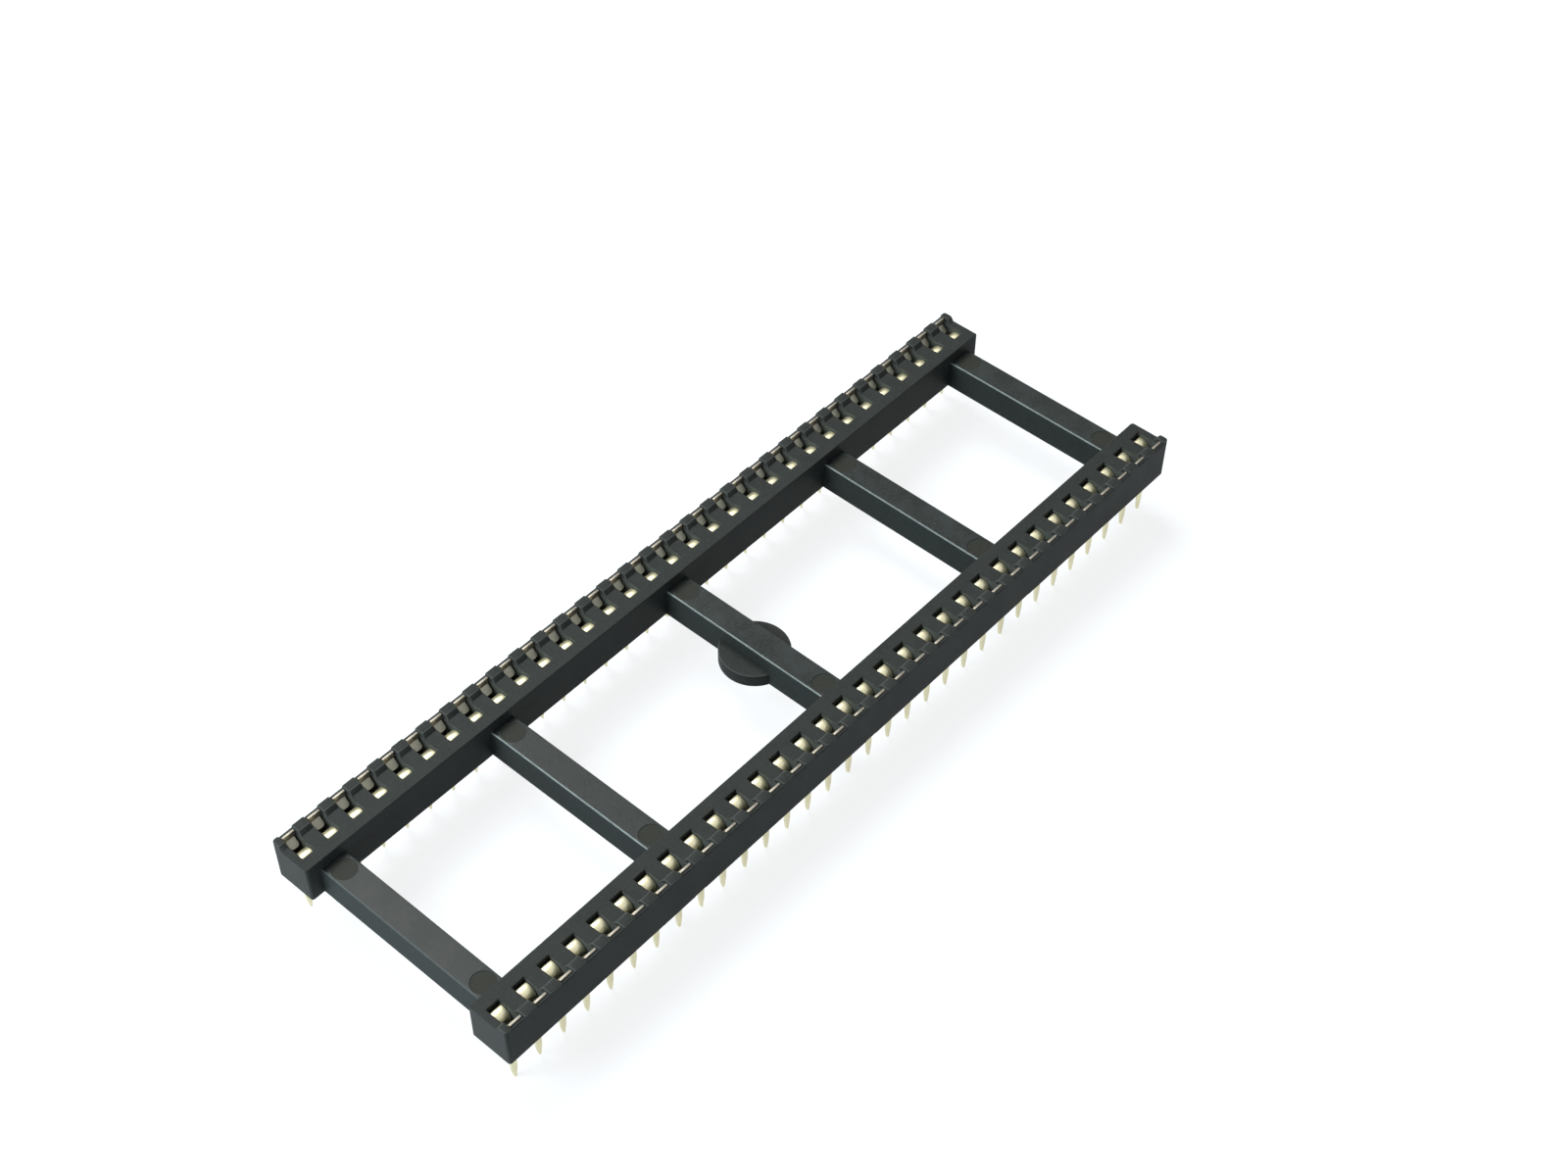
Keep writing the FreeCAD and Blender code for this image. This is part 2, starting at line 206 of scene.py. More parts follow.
class HousingSizes(bpy.types.PropertyGroup):
    """Sizes and colours of the moulded housing."""

    rail_inner: length("Rail inner reach", 2.61, "Row line to the rail's inner face")
    rail_outer: length("Rail outer reach", 1.27, "Row line to the rail's outer face")
    rim_top: length("Rim top", 0.84, "Rim across its flat top")
    rim_foot: length("Rim foot", 1.14, "Rim across its foot on the seat")
    wall_top: length("Wall top", 4.06, "Underside to the thin wall behind a contact")
    cavity_inner: length("Cavity inner reach", 1.47, "Row line to the cavity's inner wall")
    lead_in: length("Lead-in", 0.06, "How much each wall of a rim gap leans out")
    slot_length: length("Tail slot length", 0.64, "Slot for a tail, along the row")
    slot_width: length("Tail slot width", 0.3, "Slot for a tail, across the row")
    edge_round: length("Edge rounding", 0.07, "Rounding of the rails' edges")
    end_round: length("End corner rounding", 0.25, "Upright corners at the rails' ends")
    bar_height: length("Bar height", 2.74, "Underside to the top of a crossbar")
    bar_top: length("Bar top", 2.44, "Crossbar across its top")
    bar_draft: length("Bar draft", 0.095, "How much a crossbar's side leans out")
    bar_round: length("Bar rounding", 0.10, "Rounding of the crossbars' edges")
    end_bar_inset: length("End bar inset", 2.54, "Rail's end to the middle of an end bar")
    side_bar_place: length("Side bar place", 20.32, "Middle of the socket to a side bar")
    flange: length("Flange", 1.25, "Thickness of the low flange at one end")
    disc_radius: length("Disc radius", 3.07, "Disc round the middle crossbar")
    disc_thickness: length("Disc thickness", 1.24, "Disc round the middle crossbar")
    mark_radius: length("Mark radius", 1.05, "Round ejector mark on a crossbar")
    mark_depth: length("Mark depth", 0.05, "How deep a round mark is sunk")
    mark_inset: length("Mark inset", 1.25, "Rail's inner face to a round mark's middle")
    gate_length: length("Gate length", 1.2, "Gate notch along the rail")
    gate_width: length("Gate width", 0.45, "Gate notch across the rail")
    gate_depth: length("Gate depth", 0.12, "Gate notch into the underside")
    plastic: colour("Plastic", (0.0505, 0.0560, 0.0525), "Dark moulded plastic of the rails")
    # The crossbars' colour is the rails' plastic turned cooler, as a painted reflection of bluish
    # light on their glossier tops
    bar_plastic_and_cool_reflection: colour("Bar plastic", (0.0470, 0.0555, 0.0535), "Cooler tone of the crossbars")
    mark_tint: colour("Mark", (0.041, 0.045, 0.037), "Matte floor of the round marks")


class ContactSizes(bpy.types.PropertyGroup):
    """Sizes and colours of the stamped contacts."""

    sheet: length("Sheet", 0.22, "Sheet of the contacts")
    plate_clearance: length("Plate clearance", 0.035, "Plate to each cavity wall")
    leaf_clearance: length("Leaf clearance", 0.06, "Leaf to each cavity wall")
    tongue_clearance: length("Tongue clearance", 0.2, "Tongue to each cavity wall")
    tongue_gap: length("Tongue gap", 0.03, "Tongue to each side of its window")
    plate_top: length("Plate top", 4.18, "Underside of the housing to the plate's top")
    tongue_drop: length("Tongue drop", 0.58, "Plate's top to the tongue's root")
    tongue_angle: angle("Tongue angle", 49, "Between the tongue and the plate")
    tongue_corner: length("Tongue corner", 0.28, "Rounded corners of the tongue's end")
    grip_opening: length("Grip opening", 0.3, "Gap between leaf and tongue")
    grip_depth: length("Grip depth", 1.22, "Seat to the level of the grip")
    bend_radius: length("Bend radius", 0.85, "Outside of the leaf's rolled top")
    lip_angle: angle("Lip angle", 108, "From the grip point to the free lip")
    root_angle: angle("Root angle", 25, "From the grip point down to the shank")
    tail_width: length("Tail width", 0.56, "Tail along the row")
    tail_length: length("Tail length", 4.4, "Underside of the housing to the tip")
    point_length: length("Point length", 1.3, "Pointed stretch of the tail")
    tip_width: length("Tip width", 0.16, "Tail across its tip")
    edge_round: length("Edge rounding", 0.03, "Rolled edges of the stamped sheet")
    plating: colour("Plating", (0.84, 0.80, 0.55), "Pale plating of the rolled leaves")
    # Tongue and plate tones are the plating darkened as painted shade inside the cavities
    tongue: colour("Tongue plating", (0.31, 0.31, 0.25), "Duller plating of the tongues")
    plate: colour("Plate plating", (0.30, 0.28, 0.235), "Dull plating of the outer plates")
    # Brown painted shade, laid on deeper in the cavities
    deep_painted_shade: colour("Tarnish", (0.32, 0.285, 0.215), "Brown stain in the hollows")


class StudioSettings(bpy.types.PropertyGroup):
    """Camera, lamps and floor."""

    focal_length: amount("Focal length", 54.277, "Lens of the camera", "CAMERA", least=1.0)
    window_power: amount("Window light", 1.55, "Power of the soft lamp behind the socket", "POWER")
    window_tint: colour("Window tint", (1.0, 0.985, 0.955), "Colour of the window light")
    side_power: amount("Side light", 0.3, "Power of the lamp beyond the near end", "POWER")
    side_tint: colour("Side tint", (0.88, 0.95, 1.0), "Colour of the side light")
    low_power: amount("Low light", 0.033, "Power of the low strip at the near end", "POWER")
    sky: amount("Sky light", 0.10, "Strength of the even light from all round")
    shade_tint: colour("Shade tint", (0.80, 0.92, 1.0), "Colour of the sky and the low light")
    floor_tint: colour("Floor", (0.33, 0.38, 0.42), "Table under the socket")
    floor_glow: amount("Floor glow", 0.84, "How much paler the table is to camera and reflections")


def make_object(name, mesh):
    """Object of a mesh at the origin, linked to the scene."""
    piece = bpy.data.objects.new(name, mesh)
    bpy.context.scene.collection.objects.link(piece)
    return piece


def mesh_from(name, build):
    """Mesh of a finished bmesh, smooth shaded."""
    for face in build.faces:
        face.smooth = True
    mesh = bpy.data.meshes.new(name)
    build.to_mesh(mesh)
    build.free()
    return mesh


def shaded_object(name, mesh):
    """Object with large flat faces shaded flat, roundings smooth and unrounded edges sharp."""
    piece = make_object(name, mesh)
    mesh.set_sharp_from_angle(angle=SHARP_ANGLE)
    modifier = piece.modifiers.new("weighted", "WEIGHTED_NORMAL")
    modifier.weight = FLAT_FACE_WEIGHT
    modifier.keep_sharp = True
    graph = bpy.context.evaluated_depsgraph_get()
    weighted = bpy.data.meshes.new_from_object(piece.evaluated_get(graph))
    piece.modifiers.remove(modifier)
    piece.data = weighted
    bpy.data.meshes.remove(mesh)
    return piece


def finished(name, build, *finishes):
    """Shaded object of a finished bmesh, with its materials."""
    mesh = mesh_from(name, build)
    for finish in finishes:
        mesh.materials.append(finish)
    return shaded_object(name, mesh)


def plane(axis, reach, *points):
    """Corners in a plane across an axis, from their coordinates on the other two."""
    return [(*point[:axis], reach, *point[axis:]) for point in points]


def lies_at(item, axis, reach):
    """Whether an edge or a face lies in a plane across an axis."""
    return all(abs(corner.co[axis] - reach) < MERGE_DISTANCE for corner in item.verts)


class Shell:
    """Faces put together from corners, which neighbours share by their place."""

    def __init__(self):
        self.build = bmesh.new()
        # Per-face share of painted highlight and painted light
        self.painted_light = self.build.faces.layers.float.new(PAINTED_LIGHT_LAYER)
        self.corners = {}

    def corner(self, place):
        key = tuple(round(number / MERGE_DISTANCE) for number in place)
        if key not in self.corners:
            self.corners[key] = self.build.verts.new(place)
        return self.corners[key]

    def face(self, places, material=0, painted_light_amount=0.0):
        corners = []
        for place in places:
            corner = self.corner(place)
            if corner not in corners:
                corners.append(corner)
        face = self.build.faces.new(corners)
        face.material_index = material
        face[self.painted_light] = painted_light_amount

    def band(self, one, other, material=0, painted_light_amount=0.0):
        """Faces between two closed lines with as many points."""
        for index in range(len(one)):
            after = (index + 1) % len(one)
            corners = [one[index], one[after], other[after], other[index]]
            self.face(corners, material, painted_light_amount)

    def outward(self):
        bmesh.ops.recalc_face_normals(self.build, faces=self.build.faces[:])
        return self.build


def slab(outline, place, near, far):
    """Closed solid between two depths. place puts a point of the outline at a depth."""
    shell = Shell()
    lines = [[place(*point, depth) for point in outline] for depth in (near, far)]
    shell.band(*lines)
    for line in lines:
        shell.face(line)
    return shell.outward()


def along_rows(y, z, x):
    """Place of a point of an outline (y, z) at a depth along the rows."""
    return x, y, z


def across_rows(x, z, y):
    """Place of a point of an outline (x, z) at a depth across the rows."""
    return x, y, z


def circle(x, y, z, radius, facets):
    """Points round an upright axis."""
    turns = [2 * math.pi * step / facets for step in range(facets)]
    return [(x + radius * math.cos(turn), y + radius * math.sin(turn), z) for turn in turns]


def rounded_edge(reach, height, radius, facets):
    """Quarter round from an upright side to a flat top, as points (reach, height)."""
    turns = [math.pi / 2 * step / facets for step in range(facets + 1)]
    return [
        (reach - radius * (1 - math.cos(turn)), height - radius * (1 - math.sin(turn)))
        for turn in turns
    ]


def mirrored(line):
    """A line and its mirror image, as one outline."""
    return line + [(-x, z) for x, z in reversed(line)]


def round_edges(build, width, chosen, segments=2, painted_light_amount=None):
    """Bevel the sharp edges that the test picks out. The last argument tells how much painted
    highlight each rounding gets.
    """
    edges = [
        edge for edge in build.edges
        if len(edge.link_faces) == 2 and edge.calc_face_angle() > ROUNDED_ANGLE and chosen(edge)
    ]
    result = bmesh.ops.bevel(
        build,
        geom=edges,
        offset=width,
        offset_type="OFFSET",
        segments=segments,
        profile=0.5,
        affect="EDGES",
        clamp_overlap=True,
    )
    painted_light = build.faces.layers.float.get(PAINTED_LIGHT_LAYER)
    for face in result["faces"]:
        face[painted_light] = painted_light_amount(face) if painted_light_amount else 0.0


def add_node(tree, kind, **settings):
    """Node of a tree with its settings. Inputs are linked or set by the caller."""
    node = tree.nodes.new(kind)
    for name, setting in settings.items():
        setattr(node, name, setting)
    return node


def calculate(tree, operation, first, second):
    """Math node on two links or numbers. Gives its result."""
    node = add_node(tree, "ShaderNodeMath", operation=operation)
    for index, source in enumerate((first, second)):
        if isinstance(source, (int, float)):
            node.inputs[index].default_value = source
        else:
            tree.links.new(source, node.inputs[index])
    return node.outputs[0]


ROW_INPUTS = (
    ("Pieces", "NodeSocketCollection"),
    ("Contacts in a row", "NodeSocketInt"),
    ("Pitch", "NodeSocketFloat"),
    ("Row spacing", "NodeSocketFloat"),
    ("Places between gates", "NodeSocketInt"),
    ("Merge distance", "NodeSocketFloat"),
    ("Finish", "NodeSocketMaterial"),
)


def row_tree(name):
    """Two rows of places, the second turned about, with a piece of the collection on each.

    Piece 0 stands on a plain place, 1 and 2 before and after a gate, 3 and 4 at the two ends.
    A collection of one piece is used all along.
    """
    tree = bpy.data.node_groups.new(name, "GeometryNodeTree")
    for label, kind in ROW_INPUTS:
        tree.interface.new_socket(name=label, in_out="INPUT", socket_type=kind)
    tree.interface.new_socket(name="Rows", in_out="OUTPUT", socket_type="NodeSocketGeometry")
    given = add_node(tree, "NodeGroupInput").outputs
    result = add_node(tree, "NodeGroupOutput").inputs
    link = tree.links.new

    last = calculate(tree, "SUBTRACT", given["Contacts in a row"], 1)
    reach = calculate(tree, "MULTIPLY", calculate(tree, "MULTIPLY", last, given["Pitch"]), -0.5)
    start = add_node(tree, "ShaderNodeCombineXYZ")
    link(reach, start.inputs["X"])
    link(calculate(tree, "MULTIPLY", given["Row spacing"], 0.5), start.inputs["Y"])
    step = add_node(tree, "ShaderNodeCombineXYZ")
    link(given["Pitch"], step.inputs["X"])
    places = add_node(tree, "GeometryNodeMeshLine", mode="OFFSET", count_mode="TOTAL")
    link(given["Contacts in a row"], places.inputs["Count"])
    link(start.outputs[0], places.inputs["Start Location"])
    link(step.outputs[0], places.inputs["Offset"])

    # Which piece stands on each place
    number = add_node(tree, "GeometryNodeInputIndex").outputs[0]
    within = calculate(tree, "MODULO", number, given["Places between gates"])
    gate_after = calculate(tree, "SUBTRACT", given["Places between gates"], 1)
    before = calculate(tree, "COMPARE", within, gate_after)
    after = calculate(tree, "COMPARE", within, 0)
    kind = calculate(tree, "ADD", calculate(tree, "MULTIPLY", before, 2), after)
    at_start = calculate(tree, "COMPARE", number, 0)
    at_end = calculate(tree, "COMPARE", number, last)
    inside = calculate(tree, "SUBTRACT", 1, calculate(tree, "ADD", at_start, at_end))
    first = calculate(tree, "MULTIPLY", at_start, 3)
    ends = calculate(tree, "ADD", first, calculate(tree, "MULTIPLY", at_end, 4))
    chosen = calculate(tree, "ADD", calculate(tree, "MULTIPLY", kind, inside), ends)

    pieces = add_node(tree, "GeometryNodeCollectionInfo", transform_space="ORIGINAL")
    link(given["Pieces"], pieces.inputs["Collection"])
    pieces.inputs["Separate Children"].default_value = True
    pieces.inputs["Reset Children"].default_value = True
    stand = add_node(tree, "GeometryNodeInstanceOnPoints")
    stand.inputs["Pick Instance"].default_value = True
    link(places.outputs[0], stand.inputs["Points"])
    link(pieces.outputs[0], stand.inputs["Instance"])
    link(chosen, stand.inputs["Instance Index"])

    # Second row, and one mesh of both
    turned = add_node(tree, "GeometryNodeTransform")
    turned.inputs["Rotation"].default_value = (0, 0, math.pi)
    link(stand.outputs[0], turned.inputs["Geometry"])
    rows = add_node(tree, "GeometryNodeJoinGeometry")
    link(stand.outputs[0], rows.inputs[0])
    link(turned.outputs[0], rows.inputs[0])
    real = add_node(tree, "GeometryNodeRealizeInstances")
    link(rows.outputs[0], real.inputs[0])
    merged = add_node(tree, "GeometryNodeMergeByDistance")
    link(real.outputs[0], merged.inputs["Geometry"])
    link(given["Merge distance"], merged.inputs["Distance"])
    finish = add_node(tree, "GeometryNodeSetMaterial")
    link(merged.outputs[0], finish.inputs["Geometry"])
    link(given["Finish"], finish.inputs["Material"])
    link(finish.outputs[0], result[0])
    return tree


def repeat_along_rows(name, sources, grid, merge_distance, finish):
    """Plain mesh object with the source meshes repeated along both rows."""
    store = bpy.data.collections.new(name + "_sources")
    for number, mesh in enumerate(sources):
        store.objects.link(bpy.data.objects.new("%s_%d" % (name, number), mesh))
    tree = row_tree(name + "_rows")
    holder = make_object(name + "_holder", bpy.data.meshes.new(name + "_holder"))
    modifier = holder.modifiers.new("rows", "NODES")
    modifier.node_group = tree
    values = {
        "Pieces": store,
        "Contacts in a row": grid.contacts,
        "Pitch": grid.pitch,
        "Row spacing": grid.row_spacing,
        "Places between gates": grid.gates_every,
        "Merge distance": merge_distance,
        "Finish": finish,
    }
    for item in tree.interface.items_tree:
        if item.in_out == "INPUT":
            modifier[item.identifier] = values[item.name]
    holder.update_tag()
    graph = bpy.context.evaluated_depsgraph_get()
    mesh = bpy.data.meshes.new_from_object(holder.evaluated_get(graph))
    holder.modifiers.remove(modifier)
    bpy.data.objects.remove(holder)
    for source in list(store.objects):
        bpy.data.objects.remove(source)
    bpy.data.collections.remove(store)
    if not mesh.polygons:
        raise RuntimeError("%s has no faces" % name)
    return shaded_object(name, mesh)


def rail_cell(grid, sizes, gate_side=0, end_side=0, open_inside=False):
    """Stretch of rail for one contact, about its place, with +Y outward.

    gate_side and end_side are -1 or 1 for the side of the cell that has a gate notch or
    that is the rail's end. The other sides are left open for the next cell.
    """
    shell = Shell()
    near, far = -grid.pitch / 2, grid.pitch / 2
    left, right = -grid.cavity_width / 2, grid.cavity_width / 2
    wide_left, wide_right = left - sizes.lead_in, right + sizes.lead_in
    inner, outer = -sizes.rail_inner, sizes.rail_outer
    hole_in, hole_out = -sizes.cavity_inner, grid.cavity_outer
    foot, rim = outer - sizes.rim_foot, outer - sizes.rim_top
    floor, seat, top = grid.floor_thickness, grid.seat_height, grid.rim_height
    wall_top = sizes.wall_top
    lean = sizes.lead_in * (wall_top - seat) / (top - seat)
    notch_left, notch_right = left - lean, right + lean
    slot_x, slot_y = sizes.slot_length / 2, sizes.slot_width / 2
    gate_in = outer - sizes.gate_width
    gate_x = gate_side * (grid.pitch / 2 - sizes.gate_length / 2)
    gate_top = sizes.gate_depth

    # Inner face, seat, the rim's sloping side and its top
    shell.face(plane(Y, inner, (near, 0), (far, 0), (far, seat), (near, seat)))
    shell.face(plane(
        Z, seat, (near, inner), (far, inner), (far, foot), (right, foot), (right, hole_in),
        (left, hole_in), (left, foot), (near, foot),
    ))
    for side, wall, wide in ((near, left, wide_left), (far, right, wide_right)):
        shell.face([(side, foot, seat), (wall, foot, seat), (wide, rim, top), (side, rim, top)])
        shell.face(plane(Z, top, (side, rim), (wide, rim), (wide, outer), (side, outer)))
    shell.face(plane(
        Z, wall_top, (notch_left, hole_out), (notch_right, hole_out), (notch_right, outer),
        (notch_left, outer),
    ))

    # Cavity walls, with the gap in the rim leaning out above the seat
    for wall, notch, wide in ((left, notch_left, wide_left), (right, notch_right, wide_right)):
        corners = plane(
            X, wall, (hole_in, floor), (hole_out, floor), (hole_out, seat), (foot, seat),
            (hole_in, seat),
        )
        # Painted light on the cavity walls, which lie in shade
        shell.face(corners, painted_light_amount=CAVITY_PAINTED_LIGHT)
        corners = [
            (wall, foot, seat), (wall, hole_out, seat), (notch, hole_out, wall_top),
            (notch, outer, wall_top), (wide, outer, top), (wide, rim, top),
        ]
        # Painted light on the leaning gap walls
        shell.face(corners, painted_light_amount=GAP_PAINTED_LIGHT)
    shell.face(plane(Y, hole_in, (left, floor), (right, floor), (right, seat), (left, seat)))
    shell.face(plane(
        Y, hole_out, (left, floor), (right, floor), (right, seat), (notch_right, wall_top),
        (notch_left, wall_top), (left, seat),
    ))

    # Floor and underside round the tail's slot, and the gate notch
    slot = ((-slot_x, -slot_y), (slot_x, -slot_y), (slot_x, slot_y), (-slot_x, slot_y))
    ring = ((left, hole_in), (right, hole_in), (right, hole_out), (left, hole_out))
    shell.band(plane(Z, floor, *ring), plane(Z, floor, *slot))
    shell.band(plane(Z, floor, *slot), plane(Z, 0, *slot))
    if gate_side:
        side, other = (far, near) if gate_side > 0 else (near, far)
        slot_side = gate_side * slot_x
        for corners in (
            ((near, inner), (far, inner), (slot_x, -slot_y), (-slot_x, -slot_y)),
            ((other, inner), (other, outer), (-slot_side, slot_y), (-slot_side, -slot_y)),
            (
                (side, inner), (side, gate_in), (gate_x, gate_in), (slot_side, slot_y),
                (slot_side, -slot_y),
            ),
            (
                (other, outer), (gate_x, outer), (gate_x, gate_in), (slot_side, slot_y),
                (-slot_side, slot_y),
            ),
        ):
            shell.face(plane(Z, 0, *corners))
        notch_xs, notch_ys = (gate_x, side), (gate_in, outer)
        for axis, reach, (low, high) in ((Y, gate_in, notch_xs), (X, gate_x, notch_ys)):
            shell.face(plane(axis, reach, (low, 0), (high, 0), (high, gate_top), (low, gate_top)))
        shell.face(plane(
            Z, gate_top, (gate_x, gate_in), (side, gate_in), (side, outer), (gate_x, outer),
        ))
        low_edge = [(other, 0), (gate_x, 0), (gate_x, gate_top), (side, gate_top)]
    else:
        under = plane(Z, 0, (near, inner), (far, inner), (far, outer), (near, outer))
        shell.band(under, plane(Z, 0, *slot))
        low_edge = [(near, 0), (far, 0)]

    # Outer face
    high_edge = [
        (far, top), (wide_right, top), (notch_right, wall_top), (notch_left, wall_top),
        (wide_left, top), (near, top),
    ]
    if low_edge[0][0] > low_edge[-1][0]:
        high_edge.reverse()
    shell.face(plane(Y, outer, *low_edge, *high_edge))

    # Both sides are closed first, so that the faces can be turned outward
    for number, x in ((-1, near), (1, far)):
        low = [(outer, 0)]
        if gate_side == number:
            low = [(gate_in, 0), (gate_in, gate_top), (outer, gate_top)]
        high = [(outer, top), (rim, top), (foot, seat), (inner, seat)]
        shell.face(plane(X, x, (inner, 0), *low, *high))
    build = shell.outward()
    open_sides = [
        face for face in build.faces
        if end_side != -1 and lies_at(face, X, near) or end_side != 1 and lies_at(face, X, far)
    ]
    bmesh.ops.delete(build, geom=open_sides, context="FACES_ONLY")

    if end_side:
        end = near if end_side < 0 else far
        sides = (outer, inner) if open_inside else (outer,)
        round_edges(
            build,
            sizes.end_round,
            lambda edge: lies_at(edge, X, end) and any(lies_at(edge, Y, y) for y in sides),
            segments=4,
        )

    close = MERGE_DISTANCE

    def showing(edge):
        """Whether an edge is rounded: those in the slot, the pit and the gate stay sharp."""
        middle = (edge.verts[0].co + edge.verts[1].co) / 2
        in_slot = abs(middle.x) <= slot_x + close and abs(middle.y) <= slot_y + close
        in_pit = abs(middle.z - floor) < close
        at_foot = abs(middle.y - foot) < close and abs(middle.z - seat) < close
        past_gate = gate_side and gate_side * (middle.x - gate_x) > -close
        in_gate = past_gate and middle.y > gate_in - close and middle.z < gate_top + close
        return not (in_slot or in_pit or at_foot or in_gate)

    def painted_light_share(face):
        """Painted highlight at the gaps' corners and, more faintly, along the outer top edge."""
        middle = face.calc_center_median()
        at_gap = right - close < abs(middle.x) < wide_right + sizes.edge_round + close
        if at_gap and middle.z > seat + close and middle.y < rim + sizes.edge_round:
            return GAP_CORNER_HIGHLIGHT
        return RIM_EDGE_HIGHLIGHT if middle.z > top - sizes.edge_round - close else 0.0

    round_edges(build, sizes.edge_round, showing, painted_light_amount=painted_light_share)
    return mesh_from("rail_cell", build)


def make_rails(grid, sizes, finish):
    """Both rails, made of one cell for each contact."""
    cells = (
        rail_cell(grid, sizes),
        rail_cell(grid, sizes, gate_side=-1),
        rail_cell(grid, sizes, gate_side=1),
        rail_cell(grid, sizes, end_side=-1, open_inside=True),
        rail_cell(grid, sizes, end_side=1),
    )
    return repeat_along_rows("rails", cells, grid, MERGE_DISTANCE, finish)


def between_rails(grid, sizes):
    """Middle to a rail's inner face, and to the end of a bar that runs into the rail."""
    rail_face = grid.row_spacing / 2 - sizes.rail_inner
    return rail_face, rail_face + sizes.edge_round * 2


def mark_border(flat, centre, low_y, high_y):
    """Edge of the flat top round a mark, as far out as the circle's own rays."""
    border = []
    for x, y, _ in circle(0.0, 0.0, 0.0, 1.0, MARK_FACETS):
        room = high_y - centre if y > 0 else centre - low_y
        reach_x = flat / abs(x) if abs(x) > STRAIGHT else math.inf
        reach_y = room / abs(y) if abs(y) > STRAIGHT else math.inf
        reach = min(reach_x, reach_y)
        border.append((x * reach, centre + y * reach))
    for corner in ((flat, high_y), (-flat, high_y), (-flat, low_y), (flat, low_y)):
        nearest = min(range(MARK_FACETS), key=lambda step: math.dist(border[step], corner))
        border[nearest] = corner
    return border


def add_crossbar(shell, sizes, middle, rail_face, end, painted_light_amount):
    """Crossbar at a place along the rows. The last argument tells how much painted highlight its
    near edge gets.
    """
    half, top = sizes.bar_top / 2, sizes.bar_height
    flat = half - sizes.bar_round
    mark_y = rail_face - sizes.mark_inset
    near_y, far_y = mark_y - flat, min(mark_y + flat, rail_face)
    section = [(half + sizes.bar_draft, 0.0)]
    section += rounded_edge(half, top, sizes.bar_round, BAR_EDGE_FACETS)

    # Round marks and the flat about each
    borders = {}
    for side in (-1, 1):
        centre = side * mark_y
        borders[side] = mark_border(flat, centre, *sorted((side * near_y, side * far_y)))
        lines = [[(middle + x, y, top) for x, y in borders[side]]]
        for inward, down in MARK_RIM:
            radius = sizes.mark_radius - inward * sizes.mark_depth
            height = top - down * sizes.mark_depth
            lines.append(circle(middle, centre, height, radius, MARK_FACETS))
        for number, (one, other) in enumerate(zip(lines, lines[1:])):
            shell.band(one, other, MARK if number > 1 else PLASTIC)
        shell.face(lines[-1], MARK)

    def border_line(side, y):
        """Points of a mark's border on a line across the bar."""
        xs = sorted(x for x, place in borders[side] if abs(place - y) < MERGE_DISTANCE)
        return [(middle + x, y, top) for x in xs]

    # Middle of the flat top, then the stretches that run into the rails
    shell.face(border_line(-1, -near_y) + border_line(1, near_y)[::-1])
    for side in (-1, 1):
        corners = [(middle + x, side * end, top) for x in (flat, -flat)]
        shell.face(border_line(side, side * far_y) + corners)

    # Rounded edges and drafted sides
    for sign in (-1, 1):
        top_ys = {-end, end, -far_y, far_y, -near_y, near_y}
        for border in borders.values():
            top_ys |= {y for x, y in border if abs(x - sign * flat) < MERGE_DISTANCE}
        for index, (start, stop) in enumerate(zip(section, section[1:])):
            ys = sorted(top_ys, reverse=True) if index == BAR_EDGE_FACETS else (end, -end)
            upper = [(middle + sign * stop[0], y, stop[1]) for y in ys]
            lower = [(middle + sign * start[0], y, start[1]) for y in (-end, end)]
            # Painted highlight on the near side's rounded edge; the sides get the lighter side
            # finish, as painted light
            painted_light_share = painted_light_amount if index and sign < 0 else 0.0
            shell.face(lower + upper, PLASTIC if index else SIDE, painted_light_share)

    # Ends inside the rails, and the underside
    for y in (-end, end):
        shell.face([(middle + x, y, z) for x, z in mirrored(section)])
    low, high = middle - section[0][0], middle + section[0][0]
    shell.face(plane(Z, 0, (low, -end), (high, -end), (high, end), (low, end)))


def make_crossbars(grid, sizes, *finishes):
    """Crossbars with sunk round marks and matte sides."""
    shell = Shell()
    rail_face, end = between_rails(grid, sizes)
    end_bar = grid.contacts * grid.pitch / 2 - sizes.end_bar_inset
    # Painted highlight on each bar's near edge, fainter on the first bar
    add_crossbar(shell, sizes, -end_bar, rail_face, end, END_BAR_EDGE_HIGHLIGHT)
    for middle in (-sizes.side_bar_place, 0.0, sizes.side_bar_place, end_bar):
        add_crossbar(shell, sizes, middle, rail_face, end, BAR_EDGE_HIGHLIGHT)
    return finished("crossbars", shell.outward(), *finishes)


def make_disc(sizes, plastic):
    """Round plate about the middle crossbar, with a rounded upper edge."""
    shell = Shell()
    radius, height = sizes.disc_radius, sizes.disc_thickness
    profile = [(radius, 0.0)]
    profile += rounded_edge(radius, height, sizes.edge_round, DISC_EDGE_FACETS)
    lines = [circle(0.0, 0.0, z, reach, DISC_FACETS) for reach, z in profile]
    for number, (one, other) in enumerate(zip(lines, lines[1:])):
        # Painted highlight on the rounded upper edge
        shell.band(one, other, painted_light_amount=DISC_EDGE_HIGHLIGHT if number else 0.0)
    shell.face(lines[0])
    shell.face(lines[-1])
    return finished("disc", shell.outward(), plastic)


def make_flange(grid, sizes, plastic):
    """Low flange from the last crossbar to the rails' ends."""
    end = between_rails(grid, sizes)[1]
    rail_end = grid.contacts * grid.pitch / 2
    start, top = rail_end - sizes.end_bar_inset, sizes.flange
    outline = ((start, 0.0), (rail_end, 0.0), (rail_end, top), (start, top))
    build = slab(outline, across_rows, -end, end)

    def across_end(edge):
        one, other = edge.verts
        return lies_at(edge, X, rail_end) and abs(one.co.z - other.co.z) < MERGE_DISTANCE

    round_edges(build, sizes.edge_round, across_end, segments=3)
    return finished("flange", build, plastic)


